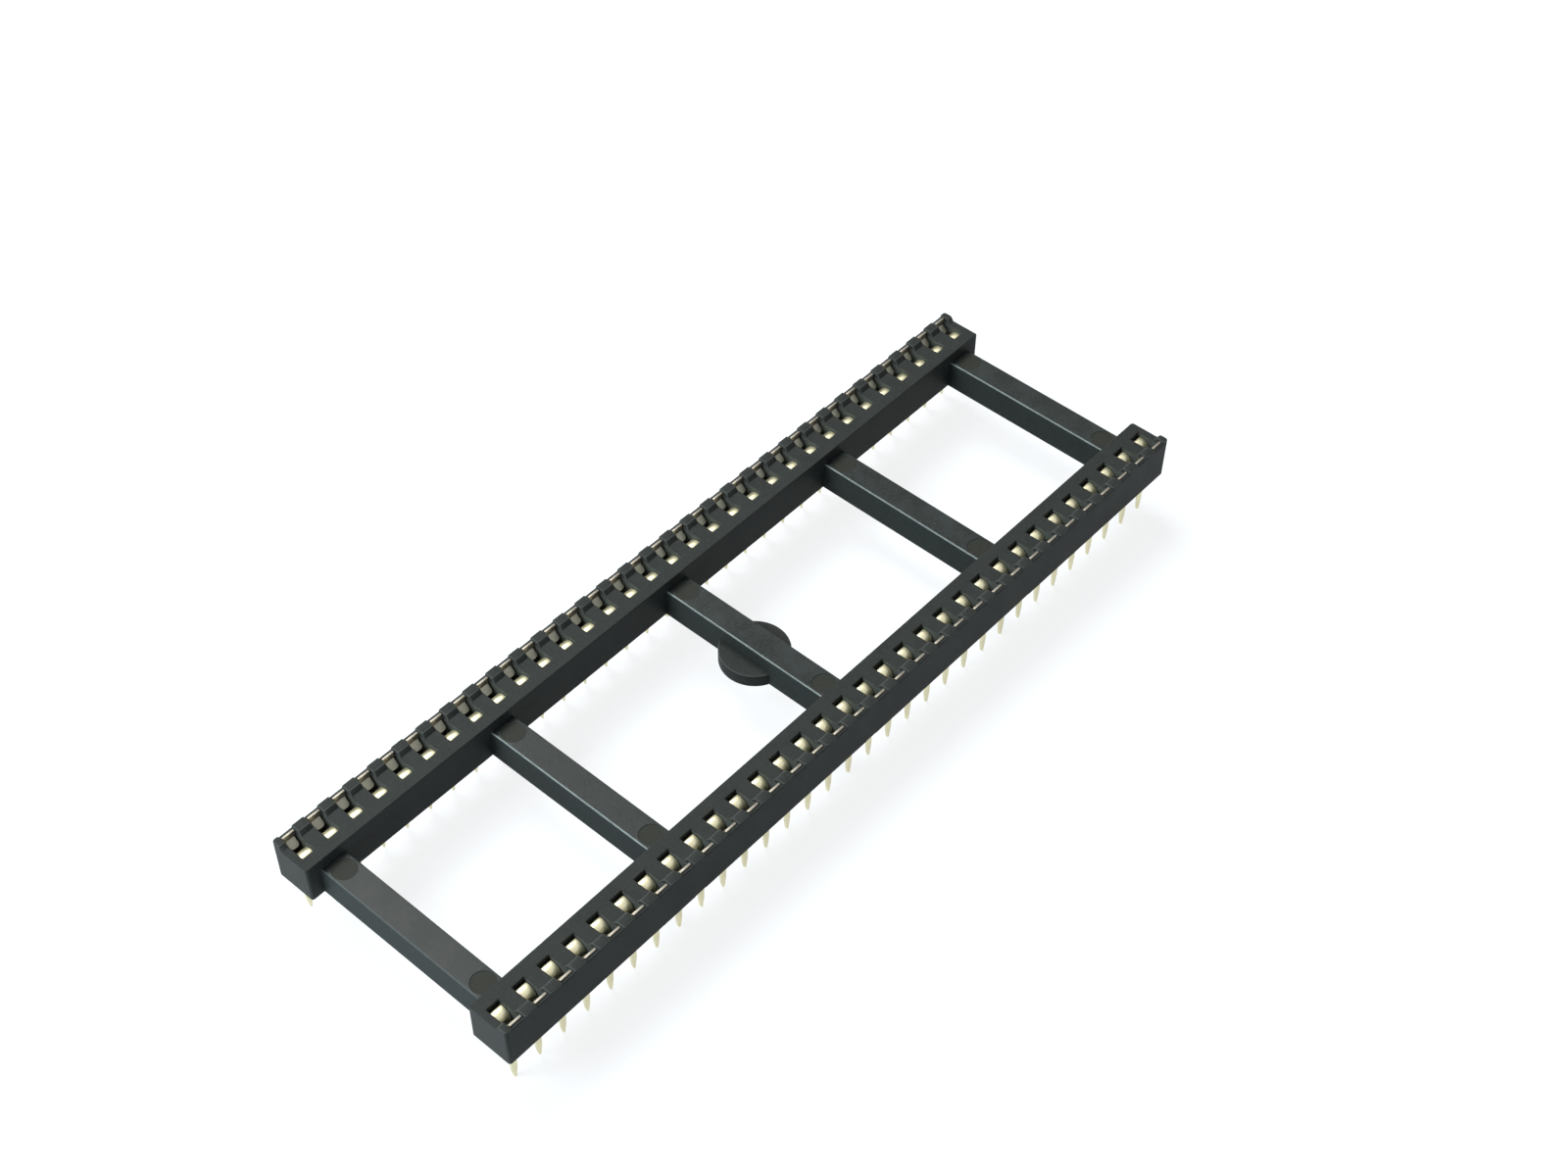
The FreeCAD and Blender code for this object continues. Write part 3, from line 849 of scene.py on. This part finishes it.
def contact_mesh(grid, sizes):
    """One stamped contact about its place, with its plate on the +Y side."""
    floor, top, sheet = grid.floor_thickness, sizes.plate_top, sizes.sheet
    plate_out, plate_in = grid.cavity_outer, grid.cavity_outer - sheet
    plate_half = grid.cavity_width / 2 - sizes.plate_clearance
    leaf_half = grid.cavity_width / 2 - sizes.leaf_clearance
    tongue_half = grid.cavity_width / 2 - sizes.tongue_clearance
    window_half = tongue_half + sizes.tongue_gap

    # Plate with the window that the tongue is lanced from
    tongue_root = top - sizes.tongue_drop
    tongue_end = sizes.grip_opening / 2
    tongue_drop = (plate_in - tongue_end) / math.tan(sizes.tongue_angle)
    tongue_foot = tongue_root - tongue_drop
    border = ((-plate_half, floor), (plate_half, floor), (plate_half, top), (-plate_half, top))
    window = (
        (-window_half, tongue_foot), (window_half, tongue_foot),
        (window_half, tongue_root), (-window_half, tongue_root),
    )
    shell = Shell()
    for y in (plate_in, plate_out):
        shell.band(plane(Y, y, *border), plane(Y, y, *window))
    for ring in (border, window):
        shell.band(plane(Y, plate_in, *ring), plane(Y, plate_out, *ring))
    plate = shell.outward()
    round_edges(
        plate,
        sizes.edge_round,
        lambda edge: lies_at(edge, Z, top)
        or all(abs(abs(corner.co.x) - plate_half) < MERGE_DISTANCE for corner in edge.verts),
    )

    # Tongue, bent inward and rounded at its free end
    run = math.hypot(plate_in - tongue_end, tongue_drop)
    sine, cosine = math.sin(sizes.tongue_angle), math.cos(sizes.tongue_angle)
    half_outline = [(tongue_half, 0.0)]
    half_outline += rounded_edge(tongue_half, run, sizes.tongue_corner, TONGUE_CORNER_FACETS)

    def on_tongue(x, along, depth):
        y = plate_in - along * sine + depth * cosine
        return x, y, tongue_root - along * cosine - depth * sine

    tongue = slab(mirrored(half_outline), on_tongue, 0.0, sheet)

    # Rolled leaf on its straight shank
    bend_y = -sizes.grip_opening / 2 - sizes.bend_radius
    bend_z = grid.seat_height - sizes.grip_depth
    whole_turn = sizes.lip_angle + sizes.root_angle
    turns = [
        whole_turn * step / LEAF_FACETS - sizes.root_angle for step in range(LEAF_FACETS + 1)
    ]

    def rolled(radius):
        """Line from the shank's foot round the bend to the lip, as points (y, z)."""
        bend = [
            (bend_y + radius * math.cos(turn), bend_z + radius * math.sin(turn))
            for turn in turns
        ]
        y, z = bend[0]
        return [(y - (z - floor) * math.tan(sizes.root_angle), floor)] + bend

    outer_line, inner_line = rolled(sizes.bend_radius), rolled(sizes.bend_radius - sheet)
    leaf = slab(outer_line + inner_line[::-1], along_rows, -leaf_half, leaf_half)
    round_edges(leaf, sizes.edge_round, lambda edge: True)

    # Base strip from the shank to the plate
    shank, base_top = inner_line[0][0], floor + sheet
    outline = ((shank, floor), (plate_out, floor), (plate_out, base_top), (shank, base_top))
    base = slab(outline, along_rows, -leaf_half, leaf_half)

    # Flat tail, pointed at its end
    tail_half, tip_half = sizes.tail_width / 2, sizes.tip_width / 2
    point_top = sizes.point_length - sizes.tail_length
    side_line = [(tail_half, base_top), (tail_half, point_top)]
    for step in range(1, TAIL_POINT_FACETS + 1):
        share = step / TAIL_POINT_FACETS
        side_line.append((
            tail_half + (tip_half - tail_half) * share ** POINT_CURVE,
            point_top - sizes.point_length * share,
        ))
    tail = slab(mirrored(side_line), across_rows, -sheet / 2, sheet / 2)

    whole = bmesh.new()
    for part in (plate, tongue, base, leaf, tail):
        mesh = mesh_from("stamping", part)
        whole.from_mesh(mesh)
        bpy.data.meshes.remove(mesh)
    return mesh_from("contact", whole)


def make_contacts(grid, sizes, finish):
    """Both rows of contacts in one mesh, with nothing merged."""
    return repeat_along_rows("contacts", (contact_mesh(grid, sizes),), grid, 0.0, finish)


def noise(tree, place, scale, detail=2.0, roughness=0.5):
    """Noise on the piece's own coordinates. The scale is in cells a millimetre."""
    node = add_node(tree, "ShaderNodeTexNoise")
    node.inputs["Scale"].default_value = scale / MM
    node.inputs["Detail"].default_value = detail
    node.inputs["Roughness"].default_value = roughness
    tree.links.new(place, node.inputs["Vector"])
    return node.outputs["Fac"]


def spread(tree, source, low, high, start=0.3, stop=0.7):
    """Map a stretch of a texture's grey, or of a length, to a range of numbers."""
    node = add_node(tree, "ShaderNodeMapRange")
    ends = {"From Min": start, "From Max": stop, "To Min": low, "To Max": high}
    for label, number in ends.items():
        node.inputs[label].default_value = number
    tree.links.new(source, node.inputs["Value"])
    return node.outputs["Result"]


def new_material(name):
    """Material with its shader and the piece's own coordinates."""
    material = bpy.data.materials.new(name)
    material.use_nodes = True
    tree = material.node_tree
    shader = tree.nodes["Principled BSDF"]
    place = add_node(tree, "ShaderNodeTexCoord").outputs["Object"]
    return material, tree, shader, place


def bump(tree, shader, source, distance):
    """Bump of a height in millimetres on a shader."""
    node = add_node(tree, "ShaderNodeBump")
    node.inputs["Strength"].default_value = 1.0
    node.inputs["Distance"].default_value = distance * MM
    tree.links.new(source, node.inputs["Height"])
    tree.links.new(node.outputs["Normal"], shader.inputs["Normal"])


def mixed_colour(tree, factor, one, other):
    """Blend of two colours by a factor."""
    node = add_node(tree, "ShaderNodeMix", data_type="RGBA")
    tree.links.new(factor, node.inputs["Factor"])
    for socket, source in ((node.inputs[6], one), (node.inputs[7], other)):
        if isinstance(source, bpy.types.NodeSocket):
            tree.links.new(source, socket)
        else:
            socket.default_value = (*source, 1.0)
    return node.outputs[2]


def shade(tint, factor):
    """Colour made lighter or darker."""
    return tuple(min(1.0, channel * factor) for channel in tint)


def moulded_plastic(name, tint, roughness, shine, grain, mottle):
    """Glass-filled moulding: cloudy tone, fine specks and grain, and a per-face painted highlight
    and painted light, broken into patches.
    """
    material, tree, shader, place = new_material(name)
    cloud = noise(tree, place, 0.45, detail=4.0, roughness=0.6)
    speck = noise(tree, place, 4.0, detail=3.0, roughness=0.7)
    patchy = noise(tree, place, 1.6, detail=3.0, roughness=0.7)

    clouds = spread(tree, cloud, 0.0, 1.0, start=0.36, stop=0.64)
    tone = mixed_colour(tree, clouds, shade(tint, 1 - mottle), shade(tint, 1 + mottle))
    specks = spread(tree, speck, 0.0, 1.0, start=0.45, stop=0.8)
    fine = mixed_colour(tree, specks, tone, shade(tint, SPECK_TONE))
    # Painted highlights on edges and painted light on shaded walls, from the per-face layer
    painted_light = add_node(tree, "ShaderNodeAttribute", attribute_name=PAINTED_LIGHT_LAYER).outputs["Fac"]
    broken = spread(tree, patchy, 0.7, 1.0, start=0.35, stop=0.65)
    painted_light_share = calculate(tree, "MULTIPLY", painted_light, broken)
    pale = mixed_colour(tree, painted_light_share, fine, shade(tint, PAINTED_LIGHT_TONE))
    tree.links.new(pale, shader.inputs["Base Color"])

    grainy = spread(tree, speck, roughness - 0.06, roughness + 0.06)
    cloudy = spread(tree, cloud, -mottle / 3, mottle / 3, start=0.36, stop=0.64)
    tree.links.new(calculate(tree, "ADD", grainy, cloudy), shader.inputs["Roughness"])
    shader.inputs["Specular IOR Level"].default_value = shine
    bump(tree, shader, noise(tree, place, 14.0, detail=3.0, roughness=0.6), grain)
    return material


def contact_plating(sizes, grid):
    """Pale plating on the leaves, with painted shade: darker on tongues and plates and brown deep
    in the cavities.
    """
    material, tree, shader, place = new_material("contact_plating")
    parts = add_node(tree, "ShaderNodeSeparateXYZ")
    tree.links.new(place, parts.inputs[0])
    height = parts.outputs["Z"]
    across = calculate(tree, "ABSOLUTE", parts.outputs["Y"], 0.0)

    # Tone of each part of a contact, by its place across the row; tongues and plates are the
    # plating darkened as painted shade
    cloud = spread(tree, noise(tree, place, 0.9, detail=3.0), 0.0, 1.0)
    bright = mixed_colour(tree, cloud, sizes.plating, shade(sizes.plating, 0.88))
    tongue = mixed_colour(tree, cloud, sizes.tongue, shade(sizes.tongue, 0.8))
    plate = mixed_colour(tree, cloud, sizes.plate, shade(sizes.plate, 0.8))
    row_line = grid.row_spacing / 2
    plate_inner = row_line + grid.cavity_outer - sizes.sheet
    past_leaf = spread(tree, across, 0.0, 1.0, row_line - 0.05 * MM, row_line + 0.1 * MM)
    on_plate = spread(tree, across, 0.0, 1.0, plate_inner - 0.08 * MM, plate_inner)
    inside = mixed_colour(tree, past_leaf, bright, tongue)
    sheet_tone = mixed_colour(tree, on_plate, inside, plate)

    # Painted shade, browner and darker more and more below the grip, and bright again on the tails
    grip = grid.seat_height - sizes.grip_depth
    darkest_height = grid.seat_height - 3.2 * sizes.grip_depth
    depth = spread(tree, height, 0.0, 1.0, darkest_height, grip)
    above = mixed_colour(tree, depth, sizes.deep_painted_shade, sheet_tone)
    under = spread(tree, height, 1.0, 0.0, -0.4 * MM, 0.2 * MM)
    tree.links.new(mixed_colour(tree, under, above, bright), shader.inputs["Base Color"])
    shader.inputs["Metallic"].default_value = 0.85

    # Fine lines across the strip
    streak = add_node(tree, "ShaderNodeMapping")
    streak.inputs["Scale"].default_value = (6.0, 1.0, 1.0)
    tree.links.new(place, streak.inputs["Vector"])
    brushed = noise(tree, streak.outputs[0], 5.0)
    tree.links.new(spread(tree, brushed, 0.34, 0.48), shader.inputs["Roughness"])
    bump(tree, shader, brushed, 0.004)
    return material


def shown_rays(tree):
    """1 for what the camera sees, also by reflection or through glass, and otherwise 0."""
    rays = add_node(tree, "ShaderNodeLightPath").outputs
    seen = calculate(tree, "ADD", rays["Is Camera Ray"], rays["Is Glossy Ray"])
    return calculate(tree, "ADD", seen, rays["Is Transmission Ray"])


def stage_finish(name, tint, glow):
    """Pale table, white to the camera, which keeps the shadow."""
    material, tree, shader, place = new_material(name)
    shader.inputs["Roughness"].default_value = 0.9
    shader.inputs["Specular IOR Level"].default_value = 0.1
    cloud = spread(tree, noise(tree, place, 0.02), 0.0, 1.0)
    tone = mixed_colour(tree, cloud, tint, shade(tint, 1.02))
    tree.links.new(tone, shader.inputs["Base Color"])
    light = add_node(tree, "ShaderNodeEmission")
    light.inputs["Color"].default_value = (*WHITE, 1.0)
    strength = calculate(tree, "MULTIPLY", shown_rays(tree), glow)
    tree.links.new(strength, light.inputs["Strength"])
    both = add_node(tree, "ShaderNodeAddShader")
    tree.links.new(shader.outputs[0], both.inputs[0])
    tree.links.new(light.outputs[0], both.inputs[1])
    tree.links.new(both.outputs[0], tree.nodes["Material Output"].inputs["Surface"])
    return material


def make_sky(strength, tint):
    """Even light from all round, which the camera and reflections see as white."""
    world = bpy.data.worlds.new("studio")
    bpy.context.scene.world = world
    world.use_nodes = True
    tree = world.node_tree
    background = tree.nodes["Background"].inputs
    seen = shown_rays(tree)
    rest = calculate(tree, "SUBTRACT", 1.0, seen)
    total = calculate(tree, "ADD", seen, calculate(tree, "MULTIPLY", rest, strength))
    tree.links.new(total, background["Strength"])
    tree.links.new(mixed_colour(tree, seen, tint, WHITE), background["Color"])


def add_lamp(name, place, size, power, tint, target=(0.0, 0.0, 0.0)):
    """Area lamp aimed at the middle of the socket or at a target."""
    lamp = bpy.data.lights.new(name, "AREA")
    lamp.shape = "RECTANGLE"
    lamp.size, lamp.size_y = size
    lamp.energy = power
    lamp.color = tint
    item = bpy.data.objects.new(name, lamp)
    item.location = place
    aim = Vector(target) - Vector(place)
    item.rotation_euler = aim.to_track_quat("-Z", "Y").to_euler()
    bpy.context.scene.collection.objects.link(item)


def add_camera(focal_length):
    """Camera at the photograph's place and angle."""
    data = bpy.data.cameras.new("camera")
    data.lens = focal_length
    data.sensor_width = SENSOR_WIDTH
    data.sensor_fit = "HORIZONTAL"
    data.clip_start = MM
    camera = bpy.data.objects.new("camera", data)
    turn = Matrix((CAMERA_RIGHT, -CAMERA_DOWN, -CAMERA_FORWARD)).transposed().to_4x4()
    camera.matrix_world = Matrix.Translation(CAMERA_PLACE) @ turn
    bpy.context.scene.collection.objects.link(camera)
    bpy.context.scene.camera = camera


class SOCKET_OT_housing(bpy.types.Operator):
    """Make the moulded housing: rails, crossbars, disc and flange"""

    bl_idname = "object.make_socket_housing"
    bl_label = "Make Housing"

    def execute(self, context):
        grid, sizes = context.scene.socket_grid, context.scene.socket_housing
        rail = moulded_plastic(
            "rail_plastic", sizes.plastic, roughness=0.5, shine=0.06, grain=0.012, mottle=0.1
        )
        # Crossbars: a cooler colour, as a painted reflection
        bar = moulded_plastic(
            "bar_plastic_and_cool_reflection", sizes.bar_plastic_and_cool_reflection, roughness=0.3, shine=0.12, grain=0.006, mottle=0.2
        )
        # Sides of the crossbars: the bar colour made lighter, as painted light
        bar_side = moulded_plastic(
            "bar_side_painted_light", shade(sizes.bar_plastic_and_cool_reflection, BAR_SIDE_PAINTED_LIGHT), roughness=0.6,
            shine=0.05, grain=0.012, mottle=0.1,
        )
        mark = moulded_plastic(
            "ejector_mark", sizes.mark_tint, roughness=0.5, shine=0.11, grain=0.015, mottle=0.06
        )
        pieces = (
            make_rails(grid, sizes, rail),
            make_crossbars(grid, sizes, bar, mark, bar_side),
            make_disc(sizes, rail),
            make_flange(grid, sizes, bar),
        )
        for piece in pieces:
            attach(piece, "root")
            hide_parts("housing")
        return {"FINISHED"}


class SOCKET_OT_contacts(bpy.types.Operator):
    """Make both rows of stamped contacts"""

    bl_idname = "object.make_socket_contacts"
    bl_label = "Make Contacts"

    def execute(self, context):
        grid, sizes = context.scene.socket_grid, context.scene.socket_contact
        contacts = make_contacts(grid, sizes, contact_plating(sizes, grid))
        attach(contacts, "root")
        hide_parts(*CONTACT_NODES)
        return {"FINISHED"}


class SOCKET_OT_studio(bpy.types.Operator):
    """Make the table, the soft lamps and the camera"""

    bl_idname = "object.make_socket_studio"
    bl_label = "Make Studio"

    def execute(self, context):
        studio, grid = context.scene.socket_studio, context.scene.socket_grid
        low, reach = min(corner[Z] for corner in CAD_BOX), TABLE_REACH
        shell = Shell()
        corners = ((-reach, -reach), (reach, -reach), (reach, reach), (-reach, reach))
        shell.face(plane(Z, low, *corners))
        floor = make_object("table", mesh_from("table", shell.outward()))
        finish = stage_finish("table_white", studio.floor_tint, studio.floor_glow)
        floor.data.materials.append(finish)

        make_sky(studio.sky, studio.shade_tint)
        add_lamp("window", WINDOW_PLACE, WINDOW_SIZE, studio.window_power, studio.window_tint)
        add_lamp("side", SIDE_PLACE, SIDE_SIZE, studio.side_power, studio.side_tint)
        near_end = Vector((-grid.contacts * grid.pitch / 2, 0.0, 0.0))
        add_lamp(
            "low", near_end + LOW_PLACE, LOW_SIZE, studio.low_power, studio.shade_tint,
            near_end + LOW_AIM,
        )
        add_camera(studio.focal_length)
        context.scene.view_settings.view_transform = "Standard"
        return {"FINISHED"}


class SOCKET_PT_sidebar(bpy.types.Panel):
    """Sidebar list of the socket's pieces"""

    bl_idname = "SOCKET_PT_sidebar"
    bl_label = "DIP IC Socket"
    bl_space_type = "VIEW_3D"
    bl_region_type = "UI"
    bl_category = "Socket"

    def draw(self, context):
        for group, operator in (
            (context.scene.socket_housing, SOCKET_OT_housing),
            (context.scene.socket_contact, SOCKET_OT_contacts),
            (context.scene.socket_studio, SOCKET_OT_studio),
        ):
            box = self.layout.box()
            box.operator(operator.bl_idname)
            for name in group.__annotations__:
                box.prop(group, name)
        box = self.layout.box()
        for name in SocketGrid.__annotations__:
            box.prop(context.scene.socket_grid, name)


GROUPS = (
    ("socket_grid", SocketGrid),
    ("socket_housing", HousingSizes),
    ("socket_contact", ContactSizes),
    ("socket_studio", StudioSettings),
)
CLASSES = (SOCKET_OT_housing, SOCKET_OT_contacts, SOCKET_OT_studio, SOCKET_PT_sidebar)


def register():
    for name, group in GROUPS:
        bpy.utils.register_class(group)
        setattr(bpy.types.Scene, name, PointerProperty(type=group))
    for item in CLASSES:
        bpy.utils.register_class(item)


def unregister():
    for item in reversed(CLASSES):
        bpy.utils.unregister_class(item)
    for name, group in reversed(GROUPS):
        delattr(bpy.types.Scene, name)
        bpy.utils.unregister_class(group)


def main():
    register()
    bpy.ops.object.make_socket_housing()
    bpy.ops.object.make_socket_contacts()
    bpy.ops.object.make_socket_studio()


if __name__ == "__main__":
    main()
